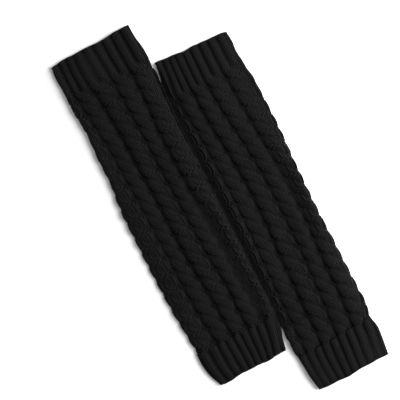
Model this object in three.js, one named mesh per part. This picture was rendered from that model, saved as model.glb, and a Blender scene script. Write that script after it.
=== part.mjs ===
// A pair of cable-knit leg warmers, laid flat side by side.
// Each warmer is one knitted leg with a ribbed cuff at both ends. Lying down, the leg and its cuffs
// are open tubes pressed flat: two layers of thick knit with a thin gap between them, round at the
// two side folds and flat underneath. Millimetres, +Z up, +Y from the ankle ends to the calf ends.
import * as THREE from 'three';

// Driving dimensions
const INNER_GAP = 0.8; // air left between the two layers of cloth
const SEAM_GAP = 0.3; // clearance between a cuff and the leg it is knitted to
const FRONT_GROOVES = 4; // grooves that lie wholly on the upper layer
const CABLE_RISE = 1.8; // how far a cable stands above its groove
const RIB_RISE = 1.3; // how far a cuff rib stands above the purl beside it
const FOLD_STEPS = 3; // straight facets in a quarter turn of a side fold
const SIDE_STEPS = 3; // facets from a fold to the nearest groove
const UNDER_STEPS = 8; // facets across the layer that lies on the surface below

// Share of the rise at each point from one groove to the next: a body cable, or the two ribs in line
// with it. A side column has a share of its own at each point from the fold to the groove.
const CABLE_PROFILE = { column: [0, 0.85, 1, 0.85], side: [1, 1, 0.9] };
const RIB_PROFILE = { column: [0, 1, 0, 1], side: [1, 0.4, 1] };

// One row for each section across a warmer, from its calf hem to its ankle hem.
// leftX, leftY and rightX, rightY are where the two side folds lie, height is the thickness of both
// layers, and firstGroove and lastGroove are the X of the outermost grooves on the upper layer.
const COLUMNS = ['leftX', 'leftY', 'rightX', 'rightY', 'height', 'firstGroove', 'lastGroove'];

function table(rows) {
  return rows.map((row) => Object.fromEntries(COLUMNS.map((column, i) => [column, row[i]])));
}

const LEFT_WARMER = {
  name: 'left',
  upperCuff: table([
    [ -95.6,  224.6,    1.0,  228.2,    8.4, -86, -22],
    [ -97.0,  213.0,    2.4,  214.6,    8.8, -86, -22],
    [ -96.2,  199.0,    4.0,  199.8,    8.8, -86, -21],
    [ -96.0,  186.0,    5.0,  186.4,    9.2, -86, -21],
  ]),
  leg: table([
    [ -96.6,  172.0,    5.0,  172.0,   10.2, -84, -20],
    [ -94.2,  142.0,    4.8,  142.0,   10.4, -82, -20],
    [ -95.2,  112.0,    4.4,  112.0,   10.4, -79, -21],
    [ -96.0,   80.0,    4.4,   80.0,   10.4, -78, -21],
    [ -98.6,   46.0,    4.2,   46.0,   10.4, -77, -20],
    [ -99.2,    8.0,    4.4,    8.0,   10.4, -76, -16],
    [ -99.0,  -40.0,    4.6,  -40.0,   10.4, -75, -13],
    [ -98.0,  -80.0,    4.8,  -80.0,   10.4, -74, -11],
    [ -95.6, -110.0,    4.6, -110.0,   10.2, -72, -11],
  ]),
  lowerCuff: table([
    [ -94.4, -132.0,    3.4, -132.4,    9.2, -70, -13],
    [ -94.0, -146.0,    1.2, -146.4,    8.8, -69, -14],
    [ -91.4, -160.0,   -3.2, -159.6,    8.8, -69, -16],
    [ -86.2, -173.6,   -5.4, -171.6,    8.4, -67, -19],
  ]),
};

const RIGHT_WARMER = {
  name: 'right',
  upperCuff: table([
    [  10.2,  176.4,   95.4,  172.6,    8.4,  17,  71],
    [   9.4,  163.0,   96.4,  161.6,    8.8,  16,  71],
    [   8.2,  149.0,   95.6,  148.6,    8.8,  15,  71],
    [   6.2,  136.0,   97.2,  136.0,    9.2,  14,  71],
  ]),
  leg: table([
    [   5.6,  120.0,   98.6,  120.0,   10.2,  14,  72],
    [   5.4,   88.0,   99.2,   88.0,   10.4,  16,  73],
    [   5.2,   50.0,   99.0,   50.0,   10.4,  17,  76],
    [   5.2,   10.0,   98.0,   10.0,   10.4,  18,  78],
    [   5.4,  -40.0,   96.8,  -40.0,   10.4,  17,  79],
    [   5.6,  -80.0,   97.0,  -80.0,   10.4,  16,  78],
    [   5.4, -112.0,   97.6, -112.0,   10.4,  15,  76],
    [   4.4, -146.0,   97.8, -146.0,   10.4,  15,  75],
    [   4.6, -172.0,   97.0, -172.0,   10.2,  15,  74],
  ]),
  lowerCuff: table([
    [   5.4, -186.0,   97.4, -186.0,    9.2,  14,  73],
    [   6.2, -199.0,   97.0, -198.4,    8.8,  13,  72],
    [   7.2, -213.0,   95.6, -212.0,    8.8,  13,  70],
    [  10.6, -228.2,   93.2, -226.6,    8.4,  15,  69],
  ]),
};

const YARN = { color: 0x1b1b1c, roughness: 0.95, metalness: 0 };

// The flattened tube's outline at one section: arc length along it runs from the left fold over the
// upper layer to the right fold and back underneath.
function flattenedTube(row) {
  const radius = row.height / 2;
  const flat = row.rightX - row.leftX - row.height;
  const quarter = (Math.PI * radius) / 2;
  const onFold = (centreX, angle) => {
    const normal = new THREE.Vector2(Math.cos(angle), Math.sin(angle));
    return { x: centreX + radius * normal.x, z: radius + radius * normal.y, normal };
  };
  const at = (s) => {
    const leftCentre = row.leftX + radius;
    const rightCentre = row.rightX - radius;
    if (s < quarter) return onFold(leftCentre, Math.PI - s / radius);
    if (s < quarter + flat) {
      return { x: leftCentre + s - quarter, z: row.height, normal: new THREE.Vector2(0, 1) };
    }
    if (s < 3 * quarter + flat) return onFold(rightCentre, Math.PI / 2 - (s - quarter - flat) / radius);
    if (s < 3 * quarter + 2 * flat) {
      return { x: rightCentre - (s - 3 * quarter - flat), z: 0, normal: new THREE.Vector2(0, -1) };
    }
    return onFold(leftCentre, -Math.PI / 2 - (s - 3 * quarter - 2 * flat) / radius);
  };
  const lengthAt = (x) => quarter + x - (row.leftX + radius);
  return { quarter, flat, at, lengthAt };
}

// Every point around one section, as its arc length and its share of the rise. The folds and the
// layer underneath are plain; the columns between the grooves have the profile's form.
function stationsAround(row, tube, profile) {
  const { quarter, flat } = tube;
  const first = tube.lengthAt(row.firstGroove);
  const last = tube.lengthAt(row.lastGroove);
  const stations = [];
  const run = (from, to, steps, shareAt) => {
    for (let i = 0; i < steps; i += 1) {
      stations.push({ length: THREE.MathUtils.lerp(from, to, i / steps), share: shareAt(i) });
    }
  };
  const plain = () => 1;
  const pitch = (last - first) / (FRONT_GROOVES - 1);
  run(0, quarter, FOLD_STEPS, plain);
  run(quarter, first, SIDE_STEPS, (i) => profile.side[i]);
  for (let column = 0; column < FRONT_GROOVES - 1; column += 1) {
    const start = first + column * pitch;
    run(start, start + pitch, profile.column.length, (i) => profile.column[i]);
  }
  const mirrored = [0, ...profile.side.slice(1).reverse()];
  run(last, quarter + flat, SIDE_STEPS, (i) => mirrored[i]);
  run(quarter + flat, 3 * quarter + flat, 2 * FOLD_STEPS, plain);
  run(3 * quarter + flat, 3 * quarter + 2 * flat, UNDER_STEPS, plain);
  run(3 * quarter + 2 * flat, 4 * quarter + 2 * flat, FOLD_STEPS, plain);
  return stations;
}

// Outer and inner points of one section. The outer ones follow the cables or ribs; the inner ones,
// where the two layers face each other, are smooth.
function sectionPoints(row, profile, rise, shiftY) {
  const tube = flattenedTube(row);
  const wall = (row.height - INNER_GAP) / 2;
  const slant = (row.rightY - row.leftY) / (row.rightX - row.leftX);
  const place = (point, depth) => {
    const x = point.x - point.normal.x * depth;
    return [x, row.leftY + slant * (x - row.leftX) + shiftY, point.z - point.normal.y * depth];
  };
  const stations = stationsAround(row, tube, profile);
  return {
    outer: stations.map(({ length, share }) => place(tube.at(length), rise * (1 - share))),
    inner: stations.map(({ length }) => place(tube.at(length), wall)),
  };
}

// An open-ended tube with a wall, lofted through its sections.
function tubeGeometry(rows, profile, rise) {
  const sections = rows.map((row) => sectionPoints(row, profile, rise, row.shiftY ?? 0));
  const around = sections[0].outer.length;
  const positions = [];
  sections.forEach((section) => positions.push(...section.outer.flat(), ...section.inner.flat()));
  const outerIndex = (section, point) => section * 2 * around + (point % around);
  const innerIndex = (section, point) => outerIndex(section, point) + around;
  const indices = [];
  const quad = (a, b, c, d) => indices.push(a, c, b, a, d, c);
  for (let p = 0; p < around; p += 1) {
    for (let s = 0; s + 1 < sections.length; s += 1) {
      quad(outerIndex(s, p), outerIndex(s, p + 1), outerIndex(s + 1, p + 1), outerIndex(s + 1, p));
      quad(innerIndex(s, p), innerIndex(s + 1, p), innerIndex(s + 1, p + 1), innerIndex(s, p + 1));
    }
    const end = sections.length - 1;
    quad(outerIndex(0, p), innerIndex(0, p), innerIndex(0, p + 1), outerIndex(0, p + 1));
    quad(outerIndex(end, p), outerIndex(end, p + 1), innerIndex(end, p + 1), innerIndex(end, p));
  }
  const geometry = new THREE.BufferGeometry();
  geometry.setAttribute('position', new THREE.Float32BufferAttribute(positions, 3));
  geometry.setIndex(indices);
  geometry.computeVertexNormals();
  return geometry;
}

function knitPiece(name, rows, profile, rise) {
  const geometry = tubeGeometry(rows, profile, rise);
  const mesh = new THREE.Mesh(geometry, new THREE.MeshStandardMaterial(YARN));
  mesh.name = name;
  return mesh;
}

// One warmer: the cuffs' last rows are also where the leg starts and ends, half a seam gap away.
function legWarmer({ name, upperCuff, leg, lowerCuff }) {
  const moved = (row, shiftY) => ({ ...row, shiftY });
  const upperJoin = upperCuff[upperCuff.length - 1];
  const lowerJoin = lowerCuff[0];
  const half = SEAM_GAP / 2;
  const upperRows = [...upperCuff.slice(0, -1), moved(upperJoin, half)];
  const legRows = [moved(upperJoin, -half), ...leg, moved(lowerJoin, half)];
  const lowerRows = [moved(lowerJoin, -half), ...lowerCuff.slice(1)];
  const warmer = new THREE.Group();
  warmer.add(
    knitPiece(`${name}_upper_cuff`, upperRows, RIB_PROFILE, RIB_RISE),
    knitPiece(`${name}_leg`, legRows, CABLE_PROFILE, CABLE_RISE),
    knitPiece(`${name}_lower_cuff`, lowerRows, RIB_PROFILE, RIB_RISE),
  );
  return warmer;
}

const pair = new THREE.Group();
pair.add(legWarmer(LEFT_WARMER), legWarmer(RIGHT_WARMER));

export default pair;
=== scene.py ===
# %% [markdown]
# # A pair of cable-knit leg warmers, laid flat
# Each leg warmer is one knitted tube: a ribbed cuff, a long leg of rope cables, and another cuff.
# Nobody wears these, so they lie pressed flat in two layers, side by side on a pale table.
# The plan: first a model of how the cloth lies, then the cloth itself as a thin shell, then every
# stitch on it as real yarn placed by Geometry Nodes, then yarn, light and camera.

# %% Load the fixed frame
import math

import bpy
import numpy as np
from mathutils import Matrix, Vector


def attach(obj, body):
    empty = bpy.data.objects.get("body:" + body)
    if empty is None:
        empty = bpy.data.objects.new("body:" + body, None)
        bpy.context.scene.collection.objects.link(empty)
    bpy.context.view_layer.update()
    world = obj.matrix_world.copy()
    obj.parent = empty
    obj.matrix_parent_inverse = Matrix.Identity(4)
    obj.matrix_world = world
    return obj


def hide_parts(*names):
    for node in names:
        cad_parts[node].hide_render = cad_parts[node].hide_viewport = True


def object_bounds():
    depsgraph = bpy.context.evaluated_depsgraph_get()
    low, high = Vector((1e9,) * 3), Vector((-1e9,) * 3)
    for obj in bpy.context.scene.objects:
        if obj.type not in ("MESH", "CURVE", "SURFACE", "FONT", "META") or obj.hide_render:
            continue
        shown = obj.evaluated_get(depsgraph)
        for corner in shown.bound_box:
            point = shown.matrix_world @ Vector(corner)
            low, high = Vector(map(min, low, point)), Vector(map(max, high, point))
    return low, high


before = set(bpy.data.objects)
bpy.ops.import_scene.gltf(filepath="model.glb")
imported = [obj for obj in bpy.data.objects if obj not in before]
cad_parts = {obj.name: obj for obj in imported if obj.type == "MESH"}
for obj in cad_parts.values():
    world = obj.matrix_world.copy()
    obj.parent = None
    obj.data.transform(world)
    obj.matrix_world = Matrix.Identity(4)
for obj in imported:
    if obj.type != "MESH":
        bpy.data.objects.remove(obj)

cad_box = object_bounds()
MM = 0.001
print("solids in the frame:", sorted(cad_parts))

# %% [markdown]
# ## How the two warmers lie
# A knitted tube that nobody wears falls flat. Where its two side folds lie, how thick both layers
# are together, and where the grooves between the cables run says all there is to know about its
# form. A short table with one row for each section holds that, in millimetres, from the calf hem
# down to the ankle hem. The grooves wander a little, as they do on any cloth laid down by hand, and
# the warmers touch along the middle, where the left one's edge leans over the right one's.

# %% The tables of sections
COLUMNS = (
    "left_x", "left_y", "right_x", "right_y", "height", "groove_1", "groove_2", "groove_3", "groove_4",
)
UPPER_JOIN, LOWER_JOIN = 3, -4  # the rows where a cuff meets the leg
SECTIONS = {
    "left": (
        (-95.6, 224.6, 1.0, 228.2, 8.4, -87.3, -69.1, -45.7, -22.3),
        (-97.0, 213.0, 1.8, 214.6, 8.8, -87.5, -69.7, -45.1, -21.7),
        (-96.2, 199.0, 4.0, 199.8, 8.8, -87.3, -69.7, -43.9, -21.3),
        (-96.0, 186.0, 4.8, 186.4, 9.2, -87.3, -68.1, -42.7, -20.7),
        (-96.0, 172.0, 5.8, 172.0, 10.2, -85.7, -65.5, -42.3, -20.3),
        (-93.6, 142.0, 5.0, 142.0, 10.4, -82.9, -63.1, -41.1, -20.7),
        (-95.2, 112.0, 3.8, 112.0, 10.4, -79.9, -61.5, -39.5, -22.5),
        (-95.2, 80.0, 3.8, 80.0, 10.4, -78.9, -60.9, -39.1, -22.5),
        (-99.7, 46.0, 3.6, 46.0, 10.4, -77.3, -59.4, -38.0, -21.4),
        (-100.1, 8.0, 3.8, 8.0, 10.4, -76.8, -58.8, -37.3, -18.8),
        (-99.9, -40.0, 4.0, -40.0, 10.4, -75.9, -57.3, -35.5, -16.1),
        (-98.8, -80.0, 4.2, -80.0, 10.4, -75.0, -53.9, -31.9, -15.5),
        (-96.2, -110.0, 4.0, -110.0, 10.2, -72.9, -52.5, -32.9, -13.1),
        (-94.4, -132.0, 3.4, -132.4, 9.2, -70.3, -51.3, -32.5, -12.9),
        (-94.0, -146.0, 1.2, -146.4, 8.8, -69.9, -50.3, -33.3, -14.1),
        (-91.4, -160.0, -3.2, -159.6, 8.8, -69.3, -49.7, -33.3, -16.7),
        (-86.2, -173.6, -5.4, -171.6, 8.4, -67.3, -49.7, -33.9, -19.7),
    ),
    "right": (
        (9.4, 176.4, 94.7, 172.6, 8.4, 17.4, 32.0, 49.6, 70.8),
        (7.4, 163.0, 95.7, 161.6, 8.8, 16.4, 31.4, 49.2, 71.0),
        (5.6, 149.0, 94.9, 148.6, 8.8, 15.2, 31.0, 49.0, 70.8),
        (4.8, 136.0, 96.5, 136.0, 9.2, 13.8, 31.0, 49.0, 71.0),
        (3.8, 120.0, 99.1, 120.0, 10.2, 13.4, 31.0, 49.2, 71.4),
        (3.6, 88.0, 100.2, 88.0, 10.4, 16.0, 32.4, 52.0, 73.2),
        (3.4, 50.0, 100.9, 50.0, 10.4, 17.2, 35.8, 56.4, 75.6),
        (3.4, 10.0, 99.8, 10.0, 10.4, 17.8, 38.2, 59.2, 78.2),
        (3.6, -40.0, 97.9, -40.0, 10.4, 17.1, 37.5, 59.6, 79.2),
        (3.8, -80.0, 98.8, -80.0, 10.4, 15.5, 35.0, 59.0, 77.0),
        (3.6, -112.0, 98.4, -112.0, 10.4, 14.5, 34.2, 57.3, 75.6),
        (3.0, -146.0, 98.8, -146.0, 10.4, 13.8, 33.0, 55.0, 75.0),
        (2.6, -172.0, 98.4, -169.0, 10.2, 13.4, 33.2, 52.7, 72.9),
        (3.8, -186.0, 95.4, -182.0, 9.2, 13.2, 32.2, 52.4, 72.4),
        (5.2, -199.0, 97.4, -194.4, 8.8, 13.0, 31.2, 51.4, 71.6),
        (6.8, -213.0, 96.4, -209.0, 8.8, 13.2, 31.4, 50.4, 70.0),
        (9.8, -228.2, 94.4, -226.6, 8.4, 15.0, 32.6, 49.6, 68.6),
    ),
}

# %% Each section's distance down the warmer
TABLE = {}
for side, rows in SECTIONS.items():
    columns = dict(zip(COLUMNS, np.array(rows).T))
    middle = (columns["left_y"] + columns["right_y"]) / 2
    columns["along"] = middle[0] - middle
    TABLE[side] = columns

LENGTH = {side: TABLE[side]["along"][-1] for side in TABLE}
UPPER = {side: TABLE[side]["along"][UPPER_JOIN] for side in TABLE}
LOWER = {side: TABLE[side]["along"][LOWER_JOIN] for side in TABLE}
for side in TABLE:
    leg = LOWER[side] - UPPER[side]
    print(f"{side} warmer: {LENGTH[side]:.0f} mm long, of which the leg is {leg:.0f} mm")

# %% [markdown]
# ## From cloth to space
# On the cloth a stitch has an address: how far around the tube it is, counted in cables, and how far
# down from the calf hem. `laid` turns such addresses into places. It finds the section there, walks
# round its flattened outline, and steps inwards by a depth below the outline.

# %% A smooth line through the values of a table
def through(knots, values, at):
    """Values between the knots, on a curve that has no corners."""
    slope = np.gradient(values, knots)
    i = np.clip(np.searchsorted(knots, at, side="right") - 1, 0, len(knots) - 2)
    gap = knots[i + 1] - knots[i]
    t = (np.clip(at, knots[0], knots[-1]) - knots[i]) / gap
    rise = values[i + 1] - values[i]
    bend_in = gap * slope[i] - rise
    bend_out = rise - gap * slope[i + 1]
    over = at - np.clip(at, knots[0], knots[-1])
    past = np.where(over < 0, slope[0], slope[-1]) * over
    return values[i] + t * rise + t * (1 - t) * ((1 - t) * bend_in + t * bend_out) + past


# %% The section at any distance down a warmer
FRONT_GROOVES = 4
# Widths of the cables that do not show from above, from the right fold round to the left one
HIDDEN_CABLES = (1.18, 0.96, 0.93, 0.92, 0.93, 0.96, 1.12)
CABLES_ROUND = FRONT_GROOVES - 1 + len(HIDDEN_CABLES)
INNER_GAP = 0.8  # between the two layers


def section(side, along):
    """The section's measures at each distance, and the arc length of every groove around it."""
    table = TABLE[side]
    at = {name: through(table["along"], table[name], along) for name in COLUMNS}
    at["radius"] = at["height"] / 2
    at["quarter"] = at["radius"] * math.pi / 2
    at["flat"] = at["right_x"] - at["left_x"] - at["height"]
    at["around"] = 2 * at["flat"] + 4 * at["quarter"]
    zero = at["left_x"] + at["radius"] - at["quarter"]
    front = [at[f"groove_{i + 1}"] - zero for i in range(FRONT_GROOVES)]
    shares = np.cumsum(HIDDEN_CABLES) / sum(HIDDEN_CABLES)
    left_over = at["around"] - (front[-1] - front[0])
    at["grooves"] = np.array(front + [front[-1] + share * left_over for share in shares])
    at["wall"] = (at["height"] - INNER_GAP) / 2
    return at


# %% The outline at any arc length: left fold, upper layer, right fold, lower layer
def outline(at, arc):
    """The place across and up, and the outward direction, on the flattened tube."""
    s = np.mod(arc, at["around"])
    q, flat, r = at["quarter"], at["flat"], at["radius"]
    left, right = at["left_x"] + r, at["right_x"] - r
    parts = [s < q, s < q + flat, s < 3 * q + flat, s < 3 * q + 2 * flat]
    angle = np.select(
        parts,
        [math.pi - s / r, math.pi / 2 + 0 * s, math.pi / 2 - (s - q - flat) / r, -math.pi / 2 + 0 * s],
        -math.pi / 2 - (s - 3 * q - 2 * flat) / r,
    )
    centre = np.select(parts, [left, left + s - q, right, right - (s - 3 * q - flat)], left)
    return centre, angle


# %% Addresses to places
PITCH = 20.0  # a cable and its groove, as knitted
SEAM_X = 5.2  # where the two warmers touch
SEAM_LEAN = 2.5  # how far the left one's edge leans over the right one's
SEAM_DIP = 0.45  # share of their height that both lose there
SEAM_REACH = 5.6
SEAM_ENDS = (-150.0, 165.0)  # along the table
SEAM_FADE = 12.0  # over which the seam begins and ends
# Where the cloth lies thinner: middle across and along the table, reach each way, share of height gone
SLUMPS = {
    "left": ((-60.0, 232.0, 60.0, 30.0, 0.16), (-103.0, -20.0, 18.0, 120.0, 0.32)),
    "right": (
        (100.0, 112.0, 34.0, 64.0, 0.42),
        (98.0, -222.0, 22.0, 24.0, 0.38),
        (101.0, -115.0, 11.0, 70.0, 0.35),
        (102.0, 32.0, 10.0, 22.0, 0.3),
    ),
}
HEM_WAVE = 0.5  # how far the hems stray from straight
HEM_WAVE_REACH = 30.0  # how far down from a hem the waves go on


def smooth(low, high, x):
    """0 up to low, 1 from high on, and a soft step between."""
    t = np.clip((x - low) / (high - low), 0, 1)
    return t * t * (3 - 2 * t)


def along_seam(y):
    """1 between the ends of the seam, 0 beyond them."""
    low, high = SEAM_ENDS
    return smooth(low - SEAM_FADE, low + SEAM_FADE, y) * smooth(high + SEAM_FADE, high - SEAM_FADE, y)


def beside_seam(x, y):
    """1 on the line where the warmers touch, falling to 0 on both sides."""
    return np.exp(-(((x - SEAM_X) / SEAM_REACH) ** 2)) * along_seam(y)


def rows_bow(side, cable, along):
    """How far a row of stitches strays from level, in mm: most at the hems."""
    offset = 0.0 if side == "left" else 1.7
    turn = 2 * math.pi * cable / CABLES_ROUND
    near_hem = np.exp(-along / HEM_WAVE_REACH) + np.exp((along - LENGTH[side]) / HEM_WAVE_REACH)
    wave = np.sin(3 * turn + offset) + 0.6 * np.sin(7 * turn + 2 * offset)
    return HEM_WAVE * (0.3 + near_hem) * wave


def laid(side, cable, along, depth):
    """Places in mm of points so many cables around, mm down and mm below the outline."""
    cable, along, depth = np.broadcast_arrays(*np.atleast_1d(cable, along, depth))
    at = section(side, along)
    whole = np.floor(cable)
    k = np.mod(whole, CABLES_ROUND).astype(int)
    index = np.arange(len(k))
    start, end = at["grooves"][k, index], at["grooves"][k + 1, index]
    arc = start + (cable - whole) * (end - start)
    centre, angle = outline(at, arc)
    reach = at["radius"] - depth
    x = centre + reach * np.cos(angle)
    z = at["radius"] + reach * np.sin(angle)
    slant = (at["right_y"] - at["left_y"]) / (at["right_x"] - at["left_x"])
    y = at["left_y"] + slant * (x - at["left_x"]) + rows_bow(side, cable, along)
    lean = SEAM_LEAN * (z / at["height"] - 0.5) * beside_seam(x, y)
    z = z * (1 - SEAM_DIP * beside_seam(x, y))
    for middle_x, middle_y, reach_x, reach_y, gone in SLUMPS[side]:
        near = np.exp(-(((x - middle_x) / reach_x) ** 2) - ((y - middle_y) / reach_y) ** 2)
        z = z * (1 - gone * near)
    x = x + lean
    stretch = (end - start) / PITCH
    return np.stack([x, y, z], 1), angle, stretch


print("one point of the left warmer:", laid("left", 1.5, 200.0, 0.0)[0][0].round(1))

# %% [markdown]
# ## The relief of the knit
# A rope cable is two strands, three stitches wide each, that swap places every eight rows. The one that
# moves to the right always passes on top. Seen as a rope, each strand swings from side to side and up
# and down, half a turn out of step with the other. Between the cables two stitches are purled, and make
# the dark groove.
# The cuffs are plain two-by-two rib, whose ribs run on from the two strands.

# %% Sizes of the knit
ROWS_PER_CROSSING = 8
CROSSINGS = {"left": 17.75, "right": 17.5}  # a leg ends where its length does, not at a whole crossing
PACE = {side: (LOWER[side] - UPPER[side]) / CROSSINGS[side] for side in TABLE}  # between crossings
STITCH_WIDTH = 3.3
STRAND_REACH = 4.3  # from a cable's middle to a strand's, where they lie side by side
STRAND_HALF = 5.0  # half a strand's width
STRAND_RISE = 1.0  # how far a strand climbs above the middle of the rope
STRAND_CROWN = 0.9  # how far a strand's edges fall below its middle
CABLE_CROWN = 1.9  # how far the whole cable's sides fall below its middle
BOXINESS = 4  # higher makes the cable's back flatter and its sides steeper
STEEPNESS = 1.5  # higher makes the strands cross in a shorter stretch
PURL_DEPTH = 4.2  # the groove's floor below the highest strand
PURL_BANK = 0.5  # how far the floor rises towards the cable
BEYOND_STRAND = 6.0  # added depth just past a strand's edge, so that the floor or the other strand shows
RIB_CROWN = 0.7
RIB_DEPTH = 2.3
RIB_HALF = 3.5  # half the width of a rib's two knit stitches
CUFF_TO_LEG = (-3.0, 5.0)  # from and to in mm past a join, the rows in which rib turns into cable


# %% Where a strand runs
def strand(side, along, which):
    """A strand's place across its cable, its slope, and its depth, at each distance down."""
    turn = math.pi * (along - UPPER[side]) / PACE[side] + math.pi * which
    swing = np.tanh(STEEPNESS * np.cos(turn)) / math.tanh(STEEPNESS)
    slope = -STRAND_REACH * STEEPNESS * np.sin(turn) * math.pi / PACE[side]
    slope = slope * (1 - (swing * math.tanh(STEEPNESS)) ** 2) / math.tanh(STEEPNESS)
    depth = STRAND_RISE * (1 + np.sin(turn))
    return STRAND_REACH * swing, slope, depth


# %% How deep the surface lies at any address
def crowned(away, half, crown):
    """A round back: no depth in the middle and the crown's depth at the edges."""
    share = np.clip(np.abs(away) / half, 0, 1)
    return crown * (1 - np.sqrt(1 - 0.96 * share**2)) / 0.8


def cable_crown(across):
    """How far the whole cable's back has fallen so far from its middle."""
    return CABLE_CROWN * np.abs(across / (PITCH / 2)) ** BOXINESS


def cable_depth(side, across, along):
    """Depth of the rope cable's surface, the higher strand over the lower, with purl beside it."""
    depth = PURL_DEPTH - PURL_BANK * smooth(9.5, 6.5, np.abs(across))
    for which in (0, 1):
        middle, slope, sunk = strand(side, along, which)
        away = (across - middle) / np.sqrt(1 + slope**2)
        own = sunk + crowned(away, STRAND_HALF, STRAND_CROWN) + cable_crown(across)
        own = own + BEYOND_STRAND * smooth(STRAND_HALF * 0.97, STRAND_HALF * 1.25, np.abs(away))
        depth = np.minimum(depth, own)
    return depth


def rib_depth(across):
    """Depth of two-by-two rib: two ribs to a cable's width."""
    away = np.abs(np.abs(across) - PITCH / 4)
    own = crowned(away, RIB_HALF, RIB_CROWN)
    return own + (RIB_DEPTH - RIB_CROWN) * smooth(RIB_HALF * 0.9, PITCH / 4 * 0.98, away)


def leg_share(side, along):
    """1 on the leg, 0 on the cuffs, with a few rows between."""
    return smooth(*CUFF_TO_LEG, along - UPPER[side]) * smooth(*CUFF_TO_LEG, LOWER[side] - along)


# %% [markdown]
# Cloth that lies on a table is pressed flat underneath, so the relief is lower there. The wall is
# never perfectly even either: slow waves, a fraction of a millimetre high, keep it from looking cast.
# Hollows, swells and places where the knit is pulled flat are listed one by one. A side fold bends the
# grooves open, and every crossing draws it in a little, which makes its edge scalloped.

# %% The relief as it lies
UNDER_SHARE = 0.4  # of the relief that is left underneath


def pressed(angle):
    """The share of the relief that is left: all of it above, less where the cloth is lain upon."""
    return UNDER_SHARE + (1 - UNDER_SHARE) * smooth(-0.95, -0.3, np.sin(angle))


# Hollows and swells: how many cables around, from and to in mm down, half width in cables,
# depth in mm, less than nothing for a swell
HOLLOWS = {
    "left": (
        (0.00, 20, 295, 0.14, -1.2),
        (1.00, 40, 290, 0.12, 0.7),
        (2.00, 30, 290, 0.14, -1.2),
        (2.98, 195, 355, 0.17, 2.2),
        (3.27, 215, 350, 0.19, 2.4),
        (2.50, 60, 170, 0.40, -0.3),
    ),
    "right": (
        (0.00, 90, 390, 0.13, -0.5),
        (1.00, 0, 340, 0.12, 0.4),
        (2.00, 120, 345, 0.14, -1.2),
        (3.02, 110, 260, 0.18, 1.0),
        (3.28, 130, 255, 0.17, 1.5),
        (2.68, 105, 245, 0.28, -0.6),
        (-0.5, 50, 300, 0.35, 0.5),
    ),
}
HOLLOW_FADE = (15, 20)  # over which one begins and ends: outside its stretch and inside it
LEAST_WALL = 0.5  # of cloth under the deepest groove
LIFT = 0.5  # how far the knit stands out beyond the plain outline, except where it is lain upon
FOLD_LIFT = 1.2  # the same on the side folds
FOLD_SHARE = 0.5  # how much of the relief a side fold keeps: bending fills the grooves out
LOBE_DEPTH = 1.5  # how far in each crossing draws a side fold
LOBE_ROUNDNESS = 0.7  # lower makes the lobes between the crossings fuller and the notches sharper
ABOVE_SKIN = 0.3  # the least height of a stitch's middle above the cloth's skin
TOUCH_LIFT, TOUCH_SHARE = 0.33, 0.12  # lift and share where the warmers press against each other


def touching(side, angle, y):
    """1 on the fold that lies against the other warmer."""
    toward = np.cos(angle) * (1 if side == "left" else -1)
    return smooth(0.0, 0.6, toward) * along_seam(y)


# Where the knit is pulled flat: how many cables around and mm down, reach each way, share of relief gone
PULLED_FLAT = {
    "left": (
        (1.5, 20.0, 0.6, 30.0, 0.75),
        (-0.3, 200.0, 0.45, 140.0, 0.55),
        (1.7, 388.0, 3.0, 25.0, 0.2),
    ),
    "right": (
        (3.8, 395.0, 0.9, 20.0, 0.75),
        (0.3, 386.0, 0.8, 22.0, 0.7),
        (4.1, 20.0, 0.55, 36.0, 0.7),
        (3.6, 90.0, 0.5, 40.0, 0.4),
        (-0.3, 210.0, 0.45, 150.0, 0.6),
        (1.0, 8.0, 1.0, 26.0, 0.3),
        (2.2, 400.0, 2.2, 26.0, 0.3),
    ),
}


def pulled_flat(side, cable, along):
    """The share of the relief that pulling leaves."""
    left = np.ones(len(cable))
    around = np.mod(cable + 1, CABLES_ROUND) - 1
    for place, down, reach_around, reach_down, gone in PULLED_FLAT[side]:
        near = np.exp(-(((around - place) / reach_around) ** 2) - ((along - down) / reach_down) ** 2)
        left = left * (1 - gone * near)
    return left


def hollows(side, cable, along):
    """The depth that the hand-placed hollows and swells add."""
    total = np.zeros(len(cable))
    around = np.mod(cable + 1, CABLES_ROUND) - 1
    for place, start, end, half, depth in HOLLOWS[side]:
        window = smooth(start - HOLLOW_FADE[0], start + HOLLOW_FADE[1], along)
        window = window * smooth(end + HOLLOW_FADE[0], end - HOLLOW_FADE[1], along)
        total += depth * window * np.exp(-(((around - place) / half) ** 2))
    return total


def unevenness(side, cable, along):
    """Slow waves over the cloth, with its hollows and swells, in mm of depth."""
    offset = 0.0 if side == "left" else 2.1
    turn = 2 * math.pi * cable / CABLES_ROUND
    a = np.sin(along / 17 + 4 * turn + offset)
    b = np.sin(along / 31 + 2 * turn + 2 * offset)
    c = np.sin(along / 9.3 - 3 * turn + 3 * offset)
    return 0.16 * (a + 1) + 0.2 * (b + 1) + 0.08 * (c + 1) + hollows(side, cable, along)


def drawn_in(side, along):
    """How far each crossing draws a side fold in: round lobes with sharp notches between them."""
    lobe = np.abs(np.cos(math.pi * (along - UPPER[side]) / PACE[side])) ** LOBE_ROUNDNESS
    return LOBE_DEPTH * (1 - lobe) * leg_share(side, along)


def on_fold(angle):
    """1 on a side fold, 0 on the layers between."""
    return smooth(0.35, 0.95, np.abs(np.cos(angle)))


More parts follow.
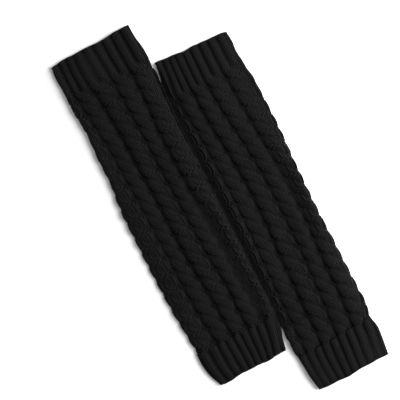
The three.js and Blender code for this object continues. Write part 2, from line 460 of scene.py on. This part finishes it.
def settled(side, cable, along, relief):
    """Depth below the outline once the relief is pressed and lifted as it lies."""
    place, angle, _ = laid(side, cable, along, 0.0)
    share = pressed(angle)
    fold = on_fold(angle)
    touch = touching(side, angle, place[:, 1]) * fold
    lift = LIFT + (FOLD_LIFT - LIFT) * fold + (TOUCH_LIFT - FOLD_LIFT) * touch
    lift = lift * smooth(-0.9, -0.3, np.sin(angle))
    kept = share * (1 - (1 - FOLD_SHARE) * fold) * (1 - (1 - TOUCH_SHARE / FOLD_SHARE) * touch)
    kept = kept * pulled_flat(side, cable, along)
    deepest = section(side, along)["wall"] - LEAST_WALL
    depth = (relief + unevenness(side, cable, along)) * kept + drawn_in(side, along) * fold * (1 - touch)
    return np.clip(depth, 0.0, deepest) - lift, share


def yarn_depth(side, along, top, share):
    """Depth of a stitch's own middle: half a yarn down, but never under the cloth's skin."""
    floor = section(side, along)["wall"] - LEAST_WALL / 2 - ABOVE_SKIN
    return np.minimum(top + YARN_HALF * (0.5 + 0.5 * share), floor)


def knit_relief(side, cable, along):
    """The plain relief: cables on the leg, ribs on the cuffs, and a few rows between the two."""
    across = (cable - np.floor(cable) - 0.5) * PITCH
    share = leg_share(side, along)
    return share * cable_depth(side, across, along) + (1 - share) * rib_depth(across)


# %% [markdown]
# ## The cloth
# The cloth is a thin shell: an outer skin with the cables' relief just under the stitches, a plain
# inner skin, and a ring that closes the wall at each open end. Cuffs and leg are shells of their own.

# %% A shell from an outer and an inner grid
def new_object(name, mesh):
    piece = bpy.data.objects.new(name, mesh)
    bpy.context.scene.collection.objects.link(piece)
    return piece


def tube_faces(rows, around, first):
    """Quads of a tube whose points run around, row after row, from index first."""
    r, c = np.meshgrid(np.arange(rows - 1), np.arange(around), indexing="ij")
    a, b = first + r * around + c, first + r * around + (c + 1) % around
    return np.stack([a, b, b + around, a + around], -1).reshape(-1, 4)


def shell_mesh(name, outer, inner, around):
    """A closed wall between two tubes of points, outer and inner, that share their ends' rings."""
    rows_out, rows_in = len(outer) // around, len(inner) // around
    faces_out = tube_faces(rows_out, around, 0)[:, ::-1]
    faces_in = tube_faces(rows_in, around, len(outer))
    ring = np.arange(around)
    after = (ring + 1) % around
    last_out, last_in = (rows_out - 1) * around, len(outer) + (rows_in - 1) * around
    start = np.stack([ring, after, len(outer) + after, len(outer) + ring], -1)
    end = np.stack([last_out + ring, last_in + ring, last_in + after, last_out + after], -1)
    mesh = bpy.data.meshes.new(name)
    points = np.concatenate([outer, inner]) * MM
    faces = np.concatenate([faces_out, faces_in, start, end])
    mesh.from_pydata(points.tolist(), [], faces.tolist())
    mesh.polygons.foreach_set("use_smooth", [True] * len(faces))
    mesh.validate()
    return mesh


# %% The six shells
POINTS_PER_CABLE = 14
SHELL_STEP = 2.2  # between rows of the outer skin
INNER_STEP = 12.0  # between rows of the inner skin
SKIN_BELOW = 0.75  # the outer skin lies this far below the stitches' tops
JOIN_GAP = 0.3  # between a cuff's shell and the leg's
AROUND = CABLES_ROUND * POINTS_PER_CABLE


def grid(side, start, end, step):
    """Addresses of a grid that covers a stretch of the tube."""
    rows = max(2, round((end - start) / step) + 1)
    along = np.repeat(np.linspace(start, end, rows), AROUND)
    cable = np.tile(np.arange(AROUND) / POINTS_PER_CABLE, rows)
    return cable, along


def cloth(name, side, start, end):
    """The shell of one stretch of a warmer."""
    cable, along = grid(side, start, end, SHELL_STEP)
    top, share = settled(side, cable, along, knit_relief(side, cable, along))
    skin = np.minimum(top + SKIN_BELOW * share, section(side, along)["wall"] - LEAST_WALL / 2)
    outer = laid(side, cable, along, skin)[0]
    cable, along = grid(side, start, end, INNER_STEP)
    inner = laid(side, cable, along, section(side, along)["wall"])[0]
    return new_object(name, shell_mesh(name, outer, inner, AROUND))


STRETCHES = {}
for side in TABLE:
    half = JOIN_GAP / 2
    STRETCHES[f"{side}_upper_cuff"] = (side, 0.0, UPPER[side] - half)
    STRETCHES[f"{side}_leg"] = (side, UPPER[side] + half, LOWER[side] - half)
    STRETCHES[f"{side}_lower_cuff"] = (side, LOWER[side] + half, LENGTH[side])
cloths = {node: cloth(f"{node}_cloth", *stretch) for node, stretch in STRETCHES.items()}
print("cloth shells:", {name: len(piece.data.polygons) for name, piece in cloths.items()})

# %% [markdown]
# ## Where the stitches go
# A knit stitch shows as a small V of yarn, and a column of them is a wale. A purl stitch shows as a
# little bar across. Each stitch is a point that knows which way its wale runs, which way is out of
# the cloth, and how wide and long it is. Stitches that the other strand covers are left out.

# %% One batch of stitch points
ROW_HEIGHT = 2.35
YARN_HALF = 0.62  # half the thickness of the yarn, and of a stitch
PROBE = 0.6  # a wale's direction is measured this far up and down from each stitch
PULLED_NARROW = 0.15  # share of its width that a stitch loses where its wale runs steeply aside


def stitch_points(side, cable, along, depth, heading, tilt, length):
    """Points with their directions and sizes, from addresses, slopes across and sideways tilts."""
    step = heading * PROBE / PITCH
    here, angle, stretch = laid(side, cable, along, depth)
    there, _, _ = laid(side, cable + step, along + PROBE, depth)
    back, _, _ = laid(side, cable - step, along - PROBE, depth)
    wale = there - back
    wale /= np.linalg.norm(wale, axis=1, keepdims=True)
    out = np.stack([np.cos(angle), 0 * angle, np.sin(angle)], 1)
    beside = np.cross(wale, out)
    out = out - beside * np.tan(tilt)[:, None]
    out -= wale * (out * wale).sum(1, keepdims=True)
    out /= np.linalg.norm(out, axis=1, keepdims=True)
    wide = stretch * (1 - PULLED_NARROW * np.abs(np.sin(np.arctan(heading))))
    size = np.stack([wide, length / ROW_HEIGHT, pressed(angle) * 0.5 + 0.5], 1)
    return {"place": here, "wale": -wale, "out": out, "size": size, "angle": angle, "along": along}


# %% The knit stitches of one warmer's cables
STRAND_TILT = math.radians(16)  # how far a strand's outer wales lean outwards
RIB_TILT = math.radians(14)  # the same for the two wales of a rib
COVERED = 0.7  # a stitch this far below the top surface is hidden by the other strand


def only(points, keep):
    """The points for which keep is true."""
    return {name: value[keep] for name, value in points.items()}


def joined(batches):
    return {name: np.concatenate([b[name] for b in batches]) for name in batches[0]}


def strand_wale(side, k, which, wale):
    """One of the three wales of a strand, as far as the other strand doesn't hide it."""
    row_height = PACE[side] / ROWS_PER_CROSSING
    rows = np.arange(round(CROSSINGS[side] * ROWS_PER_CROSSING))
    along = UPPER[side] + (rows + 0.5) * row_height
    middle, slope, sunk = strand(side, along, which)
    lean = np.arctan(slope)
    off = wale * STITCH_WIDTH
    across = middle + off * np.cos(lean)
    down = along - off * np.sin(lean)
    cable = k + 0.5 + across / PITCH
    own = sunk + crowned(off, STRAND_HALF, STRAND_CROWN) + cable_crown(across)
    shows = own < cable_depth(side, across, down) + COVERED
    keep = shows & (down > UPPER[side]) & (down < LOWER[side])
    share = leg_share(side, down)
    own = share * own + (1 - share) * rib_depth(across)
    depth = yarn_depth(side, down, *settled(side, cable, down, own))
    side_slope = BOXINESS * cable_crown(across) / (np.abs(across) + 0.1)
    tilt = wale * STRAND_TILT + np.arctan(side_slope) * np.sign(across)
    tilt = tilt * (1 - (1 - FOLD_SHARE) * on_fold(laid(side, cable, down, 0.0)[1]))
    tilt = tilt * pulled_flat(side, cable, down)
    length = row_height * np.sqrt(1 + slope**2)
    return only(stitch_points(side, cable, down, depth, slope, tilt, length), keep)


def cable_stitches(side):
    """Every knit stitch of the leg that shows, on both strands of every cable."""
    return joined([
        strand_wale(side, k, which, wale)
        for k in range(CABLES_ROUND)
        for which in (0, 1)
        for wale in (-1, 0, 1)
    ])


# %% The wales of the cuffs, and the purl stitches of the grooves
# Distance from the groove's middle, and how far down in rows: two wales, and two that cables hide in part
PURL_WALES = ((-1.25, -0.22), (1.25, 0.22), (-3.8, 0.22), (3.8, -0.22))
LEG_PURL = PURL_DEPTH - 0.9  # depth of the bars in the leg's grooves
CUFF_PURL = RIB_DEPTH - 0.5  # the same between the ribs


def across_cable(place):
    """Distance in mm from the middle of the cable that a place in cables lies on."""
    return (place - math.floor(place) - 0.5) * PITCH


def straight_wale(side, place, start, end, tilt, relief, shift=0.0):
    """One wale that runs straight down a stretch of the tube."""
    rows = max(1, round((end - start) / ROW_HEIGHT))
    height = (end - start) / rows
    along = start + (np.arange(rows) + 0.5 + shift) * height
    cable = np.full(rows, place)
    depth = yarn_depth(side, along, *settled(side, cable, along, relief))
    zero = np.zeros(rows)
    return stitch_points(side, cable, along, depth, zero, zero + tilt, zero + height)


def cuff_stitches(side, start, end):
    """The two wales of every rib of a cuff."""
    found = []
    for rib in range(2 * CABLES_ROUND):
        for wale in (-1, 1):
            place = (rib + 0.5) / 2 + wale * STITCH_WIDTH / 2 / PITCH
            relief = rib_depth(across_cable(place))
            found.append(straight_wale(side, place, start, end, wale * RIB_TILT, relief))
    return joined(found)


def purl_stitches(side):
    """The bars in the grooves between the cables."""
    found = []
    for k in range(CABLES_ROUND):
        for off, shift in PURL_WALES:
            place = k + off / PITCH
            wale = straight_wale(side, place, UPPER[side], LOWER[side], 0.0, LEG_PURL, shift)
            bare = cable_depth(side, across_cable(place), wale["along"]) > LEG_PURL
            found.append(only(wale, bare | (abs(off) < PITCH / 10)))
    return joined(found)


def cuff_purl_stitches(side, start, end):
    """The bars between the ribs of a cuff."""
    found = []
    for groove in range(2 * CABLES_ROUND):
        for off, shift in PURL_WALES[:2]:
            place = groove / 2 + off / PITCH
            found.append(straight_wale(side, place, start, end, 0.0, CUFF_PURL, shift))
    return joined(found)


# %% [markdown]
# Each open end is bound off with a chain of stitches that runs round the edge and faces outwards.

# %% The hems
HEM_STITCHES_PER_CABLE = 8
HEM_OUT = 0.3  # how far the chain lies beyond the cloth's end
HEM_WIDTHS = (0.8, 1.5)  # the narrowest and widest stitch, as shares of the plain one


def hem_stitches(side, end, facing):
    """The chain round one open end; facing is 1 at the calf hem and -1 at the ankle hem."""
    cable = (np.arange(CABLES_ROUND * HEM_STITCHES_PER_CABLE) + 0.5) / HEM_STITCHES_PER_CABLE
    along = np.full(len(cable), end)
    top, _ = settled(side, cable, along, knit_relief(side, cable, along))
    wall = section(side, along)["wall"]
    depth = (top + wall) / 2
    here, angle, stretch = laid(side, cable, along, depth)
    half_step = 0.5 / HEM_STITCHES_PER_CABLE
    chain = laid(side, cable + half_step, along, depth)[0] - laid(side, cable - half_step, along, depth)[0]
    length = np.linalg.norm(chain, axis=1)
    out = np.tile([0.0, facing, 0.0], (len(cable), 1))
    width = np.clip((wall - top) / 3.0, *HEM_WIDTHS)
    size = np.stack([width, length / ROW_HEIGHT, np.ones(len(cable))], 1)
    wale = chain / length[:, None]
    place = here + out * HEM_OUT
    return {"place": place, "wale": wale, "out": out, "size": size, "angle": angle, "along": along}


print("stitches in one hem:", CABLES_ROUND * HEM_STITCHES_PER_CABLE)

# %% [markdown]
# ## Stitches by Geometry Nodes
# One small tree makes them all. It shapes a leg of yarn from a low sphere, leans two of them into a V
# (or lays one across for a purl bar), stands a copy on every point, turned to the wale and to the
# outside, gives each a slightly different size and angle, and makes them real faces.

# %% Helpers for building the tree
def add_input(tree, name, kind, value=None):
    socket = tree.interface.new_socket(name, in_out="INPUT", socket_type=kind)
    if value is not None:
        socket.default_value = value
    return socket


class Builder:
    """Adds nodes to a tree and joins them, one call for each."""

    def __init__(self, tree):
        self.tree = tree

    def node(self, kind, settings=(), **inputs):
        made = self.tree.nodes.new(kind)
        for name, value in settings:
            setattr(made, name, value)
        for name, value in inputs.items():
            self.feed(made, name.replace("_", " "), value)
        return made

    def feed(self, node, name, value):
        socket = node.inputs[int(name[1:])] if name[0] == "#" else node.inputs[name]
        if isinstance(value, bpy.types.NodeSocket):
            self.tree.links.new(value, socket)
        else:
            socket.default_value = value

    def math(self, operation, *values):
        made = self.tree.nodes.new("ShaderNodeMath")
        made.operation = operation
        for i, value in enumerate(values):
            self.feed(made, f"#{i}", value)
        return made.outputs[0]

    def vector(self, x, y, z):
        return self.node("ShaderNodeCombineXYZ", X=x, Y=y, Z=z).outputs[0]

    def attribute(self, name, kind="FLOAT_VECTOR"):
        made = self.node("GeometryNodeInputNamedAttribute", [("data_type", kind)], Name=name)
        return made.outputs["Attribute"]


# %% The tree itself
def stitch_tree():
    tree = bpy.data.node_groups.new("yarn_stitches", "GeometryNodeTree")
    add_input(tree, "Points", "NodeSocketGeometry")
    add_input(tree, "Sides", "NodeSocketInt", 6)
    add_input(tree, "Rings", "NodeSocketInt", 3)
    add_input(tree, "Leg Width", "NodeSocketFloat", 0.00075)
    add_input(tree, "Leg Thickness", "NodeSocketFloat", 0.00062)
    add_input(tree, "Leg Length", "NodeSocketFloat", 0.00175)
    add_input(tree, "Lean", "NodeSocketFloat", math.radians(23))
    add_input(tree, "Spread", "NodeSocketFloat", 0.00082)
    add_input(tree, "Bar", "NodeSocketBool", False)
    add_input(tree, "Unevenness", "NodeSocketFloat", 0.08)
    add_input(tree, "Seed", "NodeSocketInt", 7)
    add_input(tree, "Yarn", "NodeSocketMaterial")
    tree.interface.new_socket("Stitches", in_out="OUTPUT", socket_type="NodeSocketGeometry")
    b = Builder(tree)
    given = tree.nodes.new("NodeGroupInput").outputs

    ball = b.node("GeometryNodeMeshUVSphere", Segments=given["Sides"], Rings=given["Rings"], Radius=1.0)
    unit = b.node("GeometryNodeInputPosition").outputs[0]
    marked = b.node(
        "GeometryNodeStoreNamedAttribute",
        [("data_type", "FLOAT_VECTOR"), ("domain", "POINT")],
        Geometry=ball.outputs["Mesh"], Name="yarn_place", Value=unit,
    )
    across = b.vector(given["Leg Width"], given["Leg Thickness"], given["Leg Length"])
    leg = b.node("GeometryNodeTransform", Geometry=marked.outputs[0], Scale=across)
    lying = b.node(
        "GeometryNodeTransform", Geometry=leg.outputs[0], Rotation=(math.radians(-90), 0, 0),
    ).outputs[0]
    legs = tree.nodes.new("GeometryNodeJoinGeometry")
    for hand in (-1, 1):
        turn = b.vector(0.0, 0.0, b.math("MULTIPLY", given["Lean"], -hand))
        shift = b.vector(b.math("MULTIPLY", given["Spread"], hand), 0.0, 0.0)
        leaned = b.node("GeometryNodeTransform", Geometry=lying, Rotation=turn, Translation=shift)
        tree.links.new(leaned.outputs[0], legs.inputs[0])
    bar = b.node("GeometryNodeTransform", Geometry=lying, Rotation=(0, 0, math.radians(90)))
    shape = b.node("GeometryNodeSwitch", [("input_type", "GEOMETRY")], Switch=given["Bar"])
    tree.links.new(legs.outputs[0], shape.inputs["False"])
    tree.links.new(bar.outputs[0], shape.inputs["True"])

    out = b.attribute("out")
    wale = b.attribute("wale")
    size = b.attribute("size")
    up = b.node("FunctionNodeAlignRotationToVector", [("axis", "Z")], Vector=out)
    turned = b.node(
        "FunctionNodeAlignRotationToVector", [("axis", "Y"), ("pivot_axis", "Z")],
        Rotation=up.outputs[0], Vector=wale,
    )
    low = b.math("SUBTRACT", 1.0, given["Unevenness"])
    high = b.math("ADD", 1.0, given["Unevenness"])
    vary = b.node("FunctionNodeRandomValue", [("data_type", "FLOAT_VECTOR")], Seed=given["Seed"])
    b.feed(vary, "#0", b.vector(low, low, low))
    b.feed(vary, "#1", b.vector(high, high, high))
    sized = b.node("ShaderNodeVectorMath", [("operation", "MULTIPLY")])
    b.feed(sized, "#0", size)
    b.feed(sized, "#1", vary.outputs[0])
    placed = b.node(
        "GeometryNodeInstanceOnPoints",
        Points=given["Points"], Instance=shape.outputs[0], Rotation=turned.outputs[0], Scale=sized.outputs[0],
    )
    swing = b.node("FunctionNodeRandomValue", [("data_type", "FLOAT")])
    tree.links.new(b.math("ADD", given["Seed"], 1.0), swing.inputs["Seed"])
    swing.inputs[2].default_value = -1.0
    swing.inputs[3].default_value = 1.0
    angle = b.math("MULTIPLY", swing.outputs[1], given["Unevenness"])
    swung = b.node(
        "GeometryNodeRotateInstances", Instances=placed.outputs[0], Rotation=b.vector(0.0, 0.0, angle),
    )
    real = b.node("GeometryNodeRealizeInstances", Geometry=swung.outputs[0])
    soft = b.node("GeometryNodeSetShadeSmooth", Geometry=real.outputs[0])
    dyed = b.node("GeometryNodeSetMaterial", Geometry=soft.outputs[0], Material=given["Yarn"])
    ends = tree.nodes.new("NodeGroupOutput")
    tree.links.new(dyed.outputs[0], ends.inputs[0])
    return tree


stitch_nodes = stitch_tree()
print("stitch tree:", len(stitch_nodes.nodes), "nodes")

# %% [markdown]
# ## Yarn
# The yarn is matte black acrylic. Up close it is a soft twist of plies with a haze of short fibres:
# a slightly uneven colour, a fine twist along every leg of a stitch, and a faint sheen at the edges.
# The cloth's own skin only shows through pores between stitches. Its colour is painted shade: a darker copy
# of the yarn, with less gloss and no sheen, for the shade the stitches cast into those pores.

# %% Yarn materials
def yarn_material(name, dark, light, gloss, sheen, twist):
    """A matte yarn between two greys, with the twist of its plies if it is a stitch's."""
    material = bpy.data.materials.new(name)
    material.use_nodes = True
    tree = material.node_tree
    b = Builder(tree)
    shader = tree.nodes["Principled BSDF"]
    shader.inputs["Roughness"].default_value = 0.92
    shader.inputs["Specular IOR Level"].default_value = gloss
    shader.inputs["Sheen Weight"].default_value = sheen
    shader.inputs["Sheen Roughness"].default_value = 0.45
    place = b.node("ShaderNodeTexCoord").outputs["Object"]
    mottle = b.node("ShaderNodeTexNoise", Vector=place, Scale=60.0, Detail=4.0, Roughness=0.6)
    shade = b.node("ShaderNodeMix", [("data_type", "RGBA")])
    tree.links.new(mottle.outputs["Fac"], shade.inputs["Factor"])
    shade.inputs[6].default_value = (dark, dark, dark, 1)
    shade.inputs[7].default_value = (light, light, light, 1)
    tree.links.new(shade.outputs[2], shader.inputs["Base Color"])
    fibre = b.node("ShaderNodeTexNoise", Vector=place, Scale=2600.0, Detail=2.0, Roughness=0.6)
    height = fibre.outputs["Fac"]
    if twist:
        on_leg = b.node("ShaderNodeAttribute", [("attribute_name", "yarn_place")])
        run = b.node("ShaderNodeVectorMath", [("operation", "DOT_PRODUCT")])
        b.feed(run, "#0", on_leg.outputs["Vector"])
        b.feed(run, "#1", (4.5, 0.0, 9.0))
        plies = b.math("SINE", run.outputs["Value"])
        height = b.math("ADD", b.math("MULTIPLY", plies, 0.35), height)
    bump = b.node("ShaderNodeBump", Strength=0.5, Distance=0.0002, Height=height)
    tree.links.new(bump.outputs[0], shader.inputs["Normal"])
    return material


STITCH_YARN = yarn_material("black_yarn_stitches", 0.0028, 0.0052, gloss=0.08, sheen=0.03, twist=True)
# painted shade: a darker copy of the stitch yarn, with less gloss and no sheen, for the shaded pores between
# stitches
GROUND_YARN_PAINTED_SHADE = yarn_material("black_yarn_ground_painted_shade", 0.0012, 0.0024, gloss=0.02, sheen=0.0, twist=False)
# the shells take the painted-shade ground yarn
for piece in cloths.values():
    piece.data.materials.append(GROUND_YARN_PAINTED_SHADE)

# %% [markdown]
# ## Placing the stitches
# The upper layer and the side folds show most, so their legs of yarn have six sides. The layer
# underneath is pressed on the table and gets four-sided ones.

# %% Points to plain stitch meshes
V_STITCH = {"Leg Length": 0.00192, "Leg Width": 0.00094, "Leg Thickness": 0.00072}
PURL_BAR = {"Leg Length": 0.00172, "Leg Width": 0.00092, "Leg Thickness": 0.00068, "Bar": True}


def point_cloud(name, points):
    """A mesh of loose points that carry what the tree reads."""
    mesh = bpy.data.meshes.new(name)
    mesh.from_pydata((points["place"] * MM).tolist(), [], [])
    for key in ("wale", "out", "size"):
        layer = mesh.attributes.new(key, "FLOAT_VECTOR", "POINT")
        layer.data.foreach_set("vector", points[key].ravel())
    return new_object(name, mesh)


def on_table(mesh):
    """Presses flat whatever would reach below the table."""
    spots = np.empty(len(mesh.vertices) * 3)
    mesh.vertices.foreach_get("co", spots)
    spots[2::3] = np.maximum(spots[2::3], 0.0)
    mesh.vertices.foreach_set("co", spots)


def stitched(name, points, settings):
    """Runs the tree on the points and keeps the result as a plain mesh."""
    carrier = point_cloud(f"{name}_points", points)
    modifier = carrier.modifiers.new("stitches", "NODES")
    modifier.node_group = stitch_nodes
    keys = {i.name: i.identifier for i in stitch_nodes.interface.items_tree if i.in_out == "INPUT"}
    for key, value in {**settings, "Yarn": STITCH_YARN}.items():
        modifier[keys[key]] = value
    graph = bpy.context.evaluated_depsgraph_get()
    mesh = bpy.data.meshes.new_from_object(carrier.evaluated_get(graph))
    mesh.name = name
    bpy.data.objects.remove(carrier)
    on_table(mesh)
    return new_object(name, mesh)


# %% Every stitch piece, above and below
UPPER_LAYER = -0.35  # sine of the outline's angle above which a stitch counts as the upper layer
stitches = {node: [] for node in STRETCHES}


def place_layers(node, kind, points, settings):
    """Makes one kind of stitch of a node, as one piece above and one underneath."""
    above = np.sin(points["angle"]) > UPPER_LAYER
    for layer, keep, sides in (("top", above, 6), ("under", ~above, 4)):
        if keep.any():
            piece = stitched(f"{node}_{kind}_{layer}", only(points, keep), {**settings, "Sides": sides})
            stitches[node].append(piece)
            print(piece.name, int(keep.sum()), "stitches,", len(piece.data.polygons), "faces")


for side in TABLE:
    place_layers(f"{side}_leg", "knit", cable_stitches(side), V_STITCH)
    place_layers(f"{side}_leg", "purl", purl_stitches(side), PURL_BAR)
    for cuff, start, end in (("upper", 0.0, UPPER[side]), ("lower", LOWER[side], LENGTH[side])):
        node = f"{side}_{cuff}_cuff"
        place_layers(node, "knit", cuff_stitches(side, start, end), V_STITCH)
        place_layers(node, "purl", cuff_purl_stitches(side, start, end), PURL_BAR)
    place_layers(f"{side}_upper_cuff", "hem", hem_stitches(side, 0.0, 1), V_STITCH)
    place_layers(f"{side}_lower_cuff", "hem", hem_stitches(side, LENGTH[side], -1), V_STITCH)

# %% [markdown]
# ## A flat map of the cloth
# A renderer outside Blender wants the yarn's look laid out flat, which needs a map of each piece. A
# tube has a natural one: the way round its flattened outline across, the distance along it upwards. The
# faces that look out of the cloth take one half of the map and those that look into it the other.

# %% Unrolling a warmer
MAP_WIDTH, MAP_LENGTH = 240.0, 480.0  # mm that half a map spans, and that its height spans


def unrolled(side, spots):
    """How far round the outline each place in mm lies, and which way is out of the cloth there."""
    table = TABLE[side]
    up = np.argsort(table["left_y"])
    at = {name: np.interp(spots[:, 1], table["left_y"][up], table[name][up]) for name in COLUMNS}
    r = at["height"] / 2
    left, right = at["left_x"] + r, at["right_x"] - r
    over = np.clip(spots[:, 0], left, right)
    x, z = spots[:, 0] - over, spots[:, 2] - r
    bend = r * np.arctan2(np.abs(x), np.abs(z) + 0.01)
    onward = over - left + np.sign(x) * bend
    around = np.where(z >= 0, onward, 2 * (right - left) + math.pi * r - onward)
    return around, np.stack([x, 0 * x, z], 1)


def flat_map(piece, side):
    """Gives a piece its map."""
    mesh = piece.data
    spots = np.empty(len(mesh.vertices) * 3)
    normals = np.empty(len(mesh.polygons) * 3)
    corners = np.empty(len(mesh.loops), int)
    starts = np.empty(len(mesh.polygons), int)
    sizes = np.empty(len(mesh.polygons), int)
    mesh.vertices.foreach_get("co", spots)
    mesh.polygons.foreach_get("normal", normals)
    mesh.loops.foreach_get("vertex_index", corners)
    mesh.polygons.foreach_get("loop_start", starts)
    mesh.polygons.foreach_get("loop_total", sizes)
    spots = spots.reshape(-1, 3) / MM
    around, out = unrolled(side, spots)
    inward = (normals.reshape(-1, 3) * out[corners[starts]]).sum(1) < 0
    u = 0.02 + 0.46 * around[corners] / MAP_WIDTH + 0.5 * np.repeat(inward, sizes)
    v = 0.5 + spots[corners, 1] / MAP_LENGTH
    mesh.uv_layers.new(name="OFBake").data.foreach_set("uv", np.stack([u, v], 1).ravel())


for node, (side, _, _) in STRETCHES.items():
    for piece in [cloths[node], *stitches[node]]:
        flat_map(piece, side)
print("mapped pieces:", sum(1 + len(stitches[node]) for node in STRETCHES))

# %% [markdown]
# ## What each piece is
# Every shell stands for its solid, which is hidden in its place. The shell and its stitches ride on the root.

# %% Riding and replacing
for node, (side, start, end) in STRETCHES.items():
    piece = cloths[node]
    middle = section(side, np.array([(start + end) / 2]))
    for each in [piece, *stitches[node]]:
        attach(each, "root")
    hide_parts(node)

# %% [markdown]
# ## Table, light and camera
# A pale table, soft lights from above and from the right, so that the grooves stay dark and the left
# sides carry a thin shadow, and a camera straight above, turned so that the warmers lean.

# %% Table
TABLE_REACH = 3.0  # metres each way
mesh = bpy.data.meshes.new("table_top")
corners = [(x * TABLE_REACH, y * TABLE_REACH, 0) for x, y in ((-1, -1), (1, -1), (1, 1), (-1, 1))]
mesh.from_pydata(corners, [], [(0, 1, 2, 3)])
table_top = new_object("table_top", mesh)
white = bpy.data.materials.new("white_table")
white.use_nodes = True
shader = white.node_tree.nodes["Principled BSDF"]
shader.inputs["Base Color"].default_value = (0.9, 0.9, 0.9, 1)
shader.inputs["Roughness"].default_value = 0.8
table_top.data.materials.append(white)

# %% Light
scene = bpy.context.scene
world = bpy.data.worlds.new("studio")
scene.world = world
world.use_nodes = True
sky = world.node_tree.nodes["Background"]
sky.inputs["Color"].default_value = (1, 1, 1, 1)
sky.inputs["Strength"].default_value = 0.20


def soft_light(name, azimuth, elevation, distance, size, power):
    """A square light that looks at the middle of the table from a direction in degrees."""
    lamp = bpy.data.lights.new(name, "AREA")
    lamp.shape, lamp.size, lamp.energy = "SQUARE", size, power
    light = bpy.data.objects.new(name, lamp)
    scene.collection.objects.link(light)
    a, e = math.radians(azimuth), math.radians(elevation)
    toward = (math.cos(e) * math.cos(a), math.cos(e) * math.sin(a), math.sin(e))
    light.location = [distance * part for part in toward]
    light.rotation_euler = (math.pi / 2 - e, 0, math.pi / 2 + a)


soft_light("top_light", azimuth=0, elevation=88, distance=1.6, size=1.0, power=6)
soft_light("key_light", azimuth=-14, elevation=52, distance=1.5, size=0.8, power=27)
soft_light("side_light", azimuth=0, elevation=16, distance=1.2, size=0.6, power=35)

# %% Camera
TURN = math.radians(26.8)
FIELD = 0.442  # metres of table that the view spans
VIEW_SHIFT = (-0.0146, 0.0195)  # in metres, from the middle of the pair to the middle of the view
LENS, SENSOR = 90.0, 36.0
camera = bpy.data.objects.new("camera", bpy.data.cameras.new("camera"))
scene.collection.objects.link(camera)
camera.data.lens = LENS
camera.data.sensor_width = SENSOR
centre = [(low + high) / 2 for low, high in zip(*cad_box)]
top = cad_box[1][2]
shift_x, shift_y = VIEW_SHIFT
camera.location = (centre[0] + shift_x, centre[1] + shift_y, top + FIELD * LENS / SENSOR)
camera.rotation_euler = (0, 0, -TURN)
scene.camera = camera
scene.view_settings.view_transform = "Standard"
